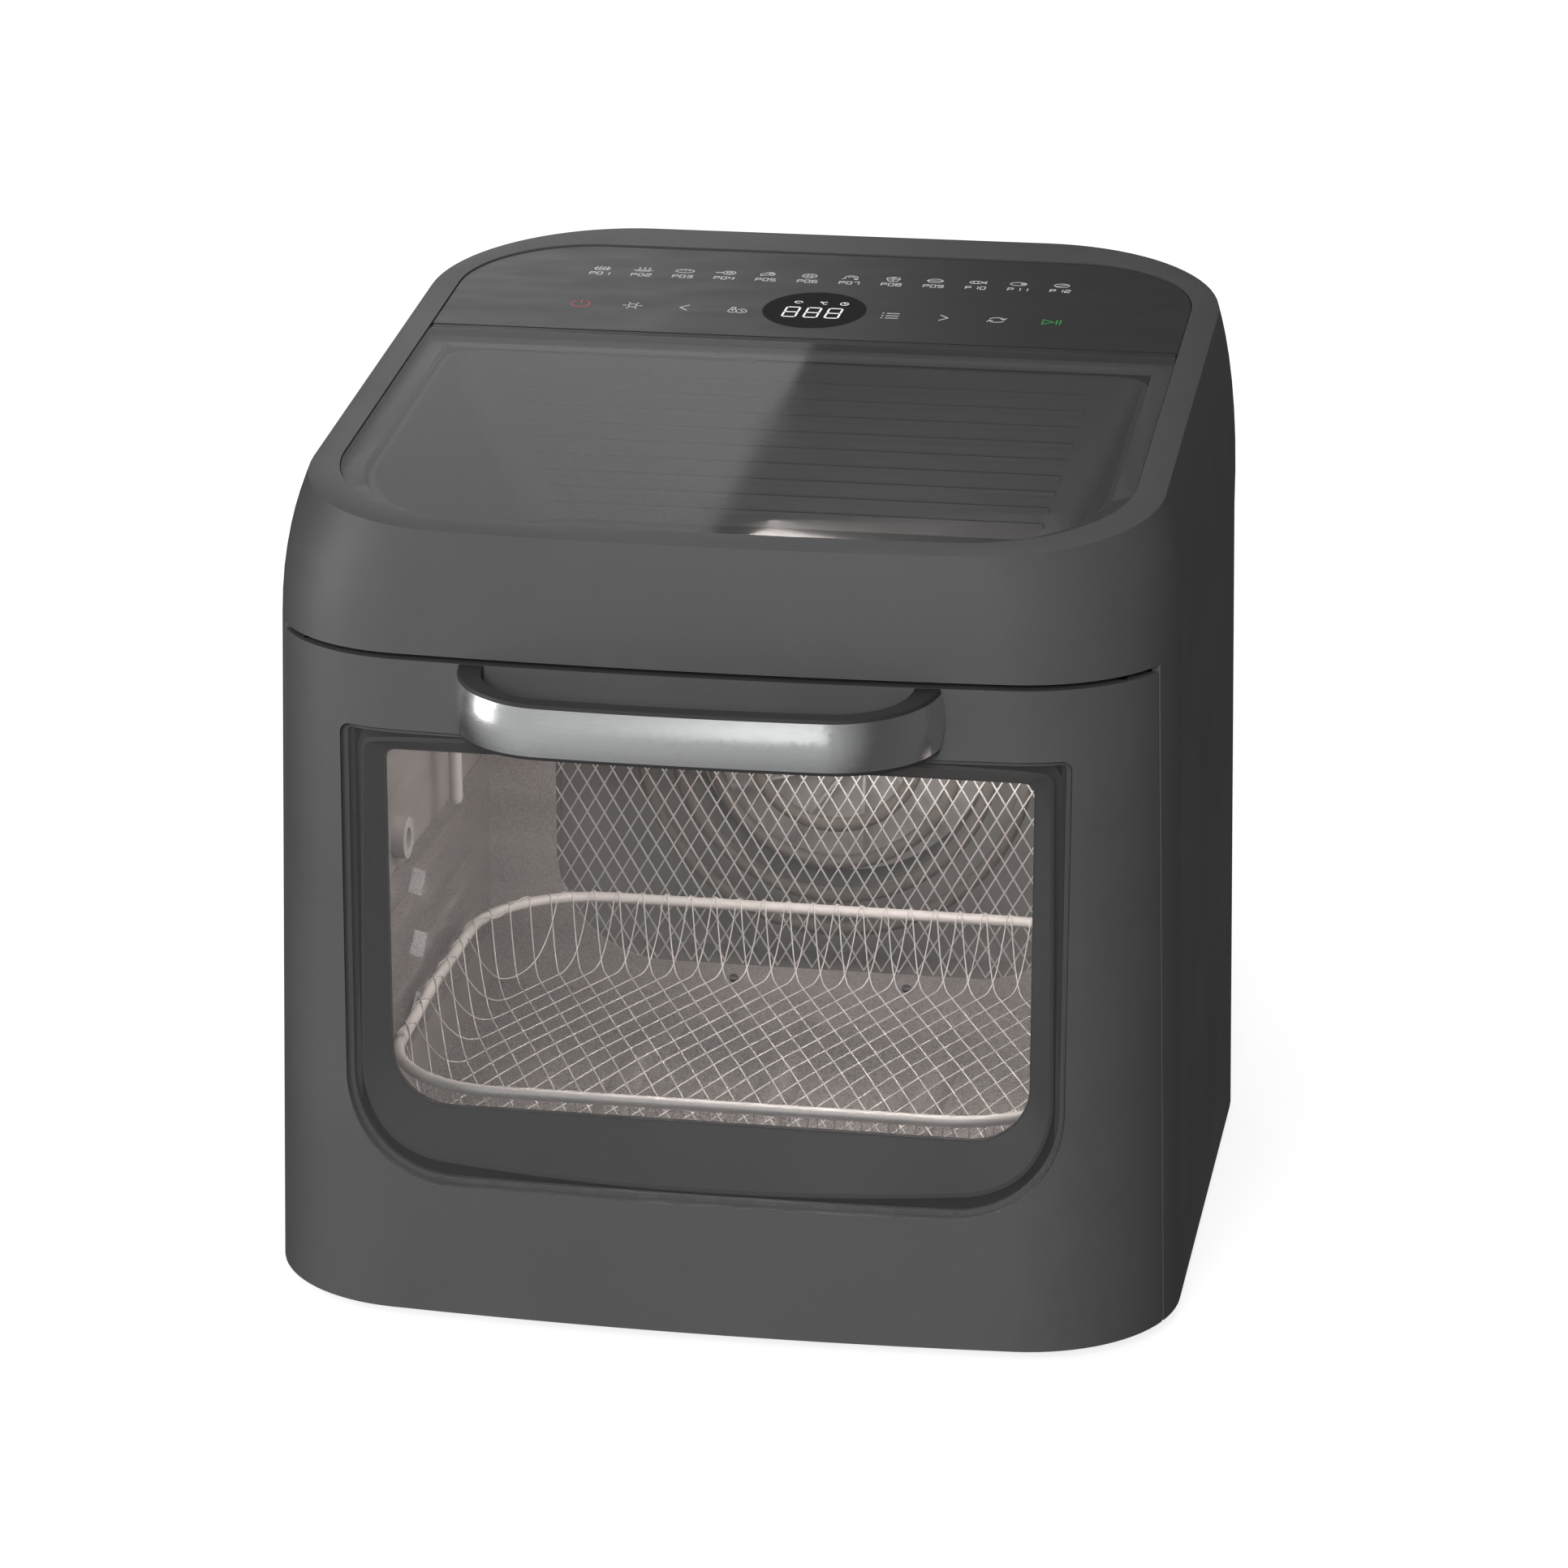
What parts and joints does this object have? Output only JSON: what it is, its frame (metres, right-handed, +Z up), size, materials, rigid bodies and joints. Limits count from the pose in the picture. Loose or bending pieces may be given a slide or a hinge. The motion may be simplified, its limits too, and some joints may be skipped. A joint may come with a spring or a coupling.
{
  "type": "rotisserie oven",
  "caption": "Countertop rotisserie oven: bowed front with drop-down window door, loop handle, sloping glass top with skylight and touch panel, wire basket.",
  "frame": {"origin": "centre of the footprint, from handle front to rear spacers, at the level the feet stand on", "axes": "+Z up, -Y towards the user (door side), +X to the user's right"},
  "size_m": [0.3408, 0.38, 0.3427],
  "materials": {
    "body": "matte charcoal plastic",
    "inner_plastic": "black moulded plastic",
    "panel_glass": "back-printed black glass, gloss",
    "clear_glass": "tinted tempered glass, gloss",
    "inner_glass": "clear heat-resistant glass",
    "liner": "dark ribbed liner",
    "cavity_metal": "satin aluminised sheet steel",
    "bright_wire": "bright plated wire",
    "handle_chrome": "brushed chrome strip",
    "steel": "zinc plated steel",
    "black_steel": "black enamelled steel",
    "element": "heat-darkened sheathed element",
    "aluminium": "bare aluminium",
    "rubber": "soft black rubber",
    "gasket": "grey silicone",
    "board": "green circuit board",
    "display": "smoked display module",
    "wool": "ceramic fibre",
    "lamp": "warm clear lamp glass",
    "white_plastic": "white moulded plastic"
  },
  "bodies": {
    "body": {"outer_housing": "body", "rear_cover": "black_steel", "rear_spacers": "inner_plastic", "cord_gland": "rubber", "cover_screws": "steel", "base_pan": "steel", "rubber_feet": "rubber", "skylight_glass": "clear_glass", "control_panel_glass": "panel_glass", "panel_divider": "inner_plastic", "skylight_well": "liner", "skylight_inner_glass": "inner_glass", "control_board": "board", "board_posts": "inner_plastic", "display_module": "display", "touch_springs": "steel", "cavity_wrap": "cavity_metal", "cavity_floor": "cavity_metal", "cavity_rear_wall": "cavity_metal", "fan_guard": "bright_wire", "fan_chamber": "cavity_metal", "heating_element": "element", "element_brackets": "steel", "fan_motor": "steel", "motor_mount": "steel", "front_frame": "black_steel", "cavity_insulation": "wool", "left_rack_guide": "cavity_metal", "right_rack_guide": "cavity_metal", "lamp_socket": "white_plastic", "lamp_bulb": "lamp", "lamp_lens": "lamp", "temperature_probe": "steel", "thermal_cutout": "black_steel", "power_board": "board", "power_board_tray": "steel", "rotisserie_motor": "steel", "spit_bearing": "steel", "hinge_brackets": "steel", "hinge_pins": "steel", "hinge_springs": "steel", "door_switch": "inner_plastic"},
    "door": {"door_outer_shell": "body", "window_outer_glass": "clear_glass", "door_inner_frame": "inner_plastic", "window_inner_glass": "inner_glass", "window_bezel": "liner", "door_gasket": "gasket", "handle_grip": "inner_plastic", "handle_trim": "handle_chrome", "handle_screws": "steel", "hinge_eyes": "steel"},
    "fan_rotor": {"fan_shaft": "steel", "convection_fan": "aluminium", "cooling_fan": "aluminium"},
    "spit_drive": {"spit_drive_socket": "steel"},
    "switch_pin": {"switch_plunger": "white_plastic"},
    "basket": {"basket_rim": "bright_wire", "basket_mesh": "bright_wire"}
  },
  "joints": [
    {"name": "door_hinge", "type": "hinge", "parent": "body", "child": "door", "pos_m": [0, -0.148, 0.0135], "axis": [1, 0, 0], "range_deg": [0, 80]},
    {"name": "fan_spin", "type": "hinge", "parent": "body", "child": "fan_rotor", "pos_m": [0.004, 0.15, 0.146], "axis": [0, 1, 0], "continuous": true},
    {"name": "spit_spin", "type": "hinge", "parent": "body", "child": "spit_drive", "pos_m": [0.14, -0.046, 0.152], "axis": [1, 0, 0], "continuous": true},
    {"name": "door_switch_press", "type": "slide", "parent": "body", "child": "switch_pin", "axis": [0, -1, 0], "range_m": [0, 0.003]},
    {"name": "basket_slide", "type": "slide", "parent": "body", "child": "basket", "axis": [0, -1, 0], "range_m": [0, 0.05]}
  ],
  "couplings": [
    {"joint": "door_switch_press", "follows": "door_hinge", "m_per_rad": 0.0021},
    {"joint": "basket_slide", "follows": "door_hinge", "m_per_rad": 0.0355}
  ]
}
